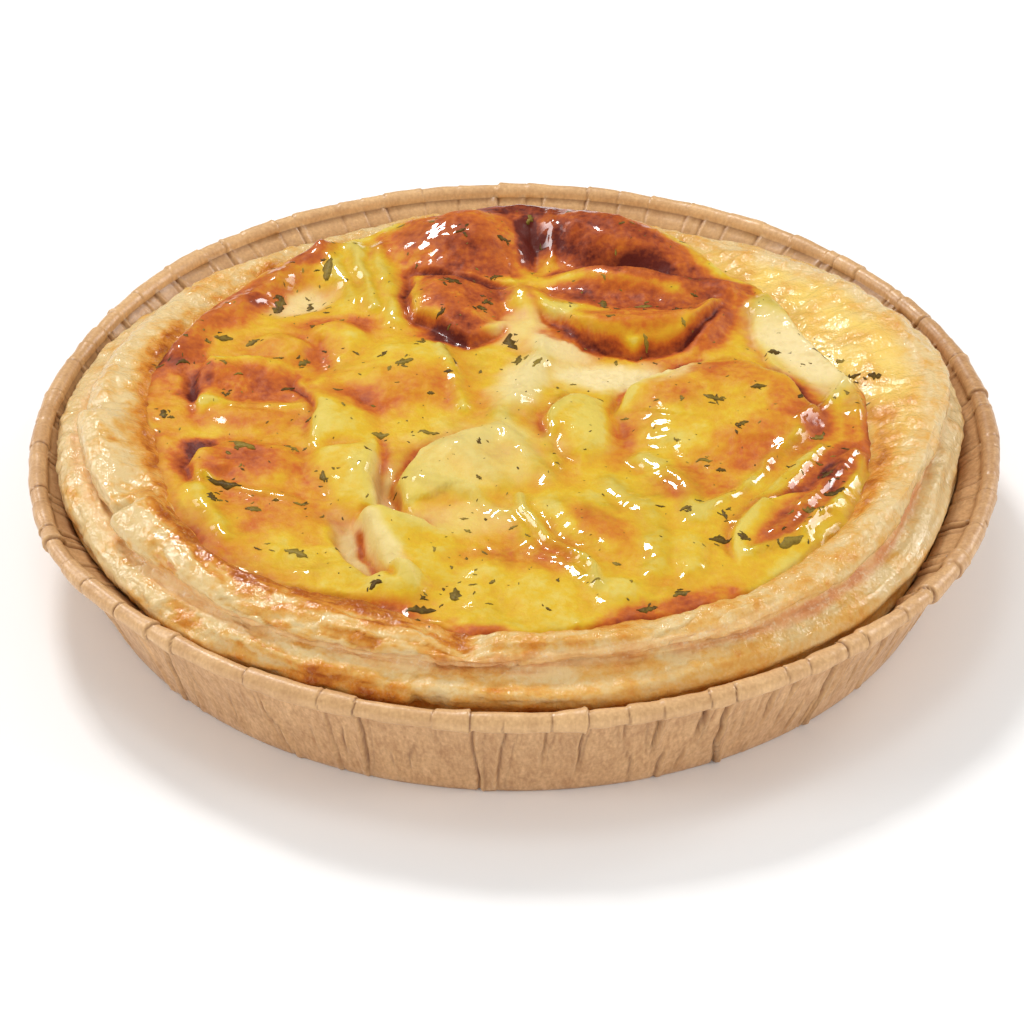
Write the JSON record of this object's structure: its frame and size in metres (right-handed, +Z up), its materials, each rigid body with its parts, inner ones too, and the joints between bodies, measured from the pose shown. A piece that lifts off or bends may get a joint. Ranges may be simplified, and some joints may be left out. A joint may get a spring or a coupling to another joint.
{
  "type": "quiche",
  "caption": "Round open quiche with a lumpy golden egg top and a folded flaky pastry edge, in a low round paper baking case with a rolled rim.",
  "frame": {"origin": "middle of the paper case's base, on the surface it stands on", "axes": "+Z up, out of the filling; -Y is the front, towards the viewer; +X to the viewer's right"},
  "size_m": [0.1498, 0.1498, 0.0298],
  "materials": {
    "paper": "satin",
    "pastry": "satin",
    "filling": "gloss"
  },
  "bodies": {
    "root": {"paper_case": "paper", "pastry_shell": "pastry", "filling": "filling"}
  },
  "joints": []
}
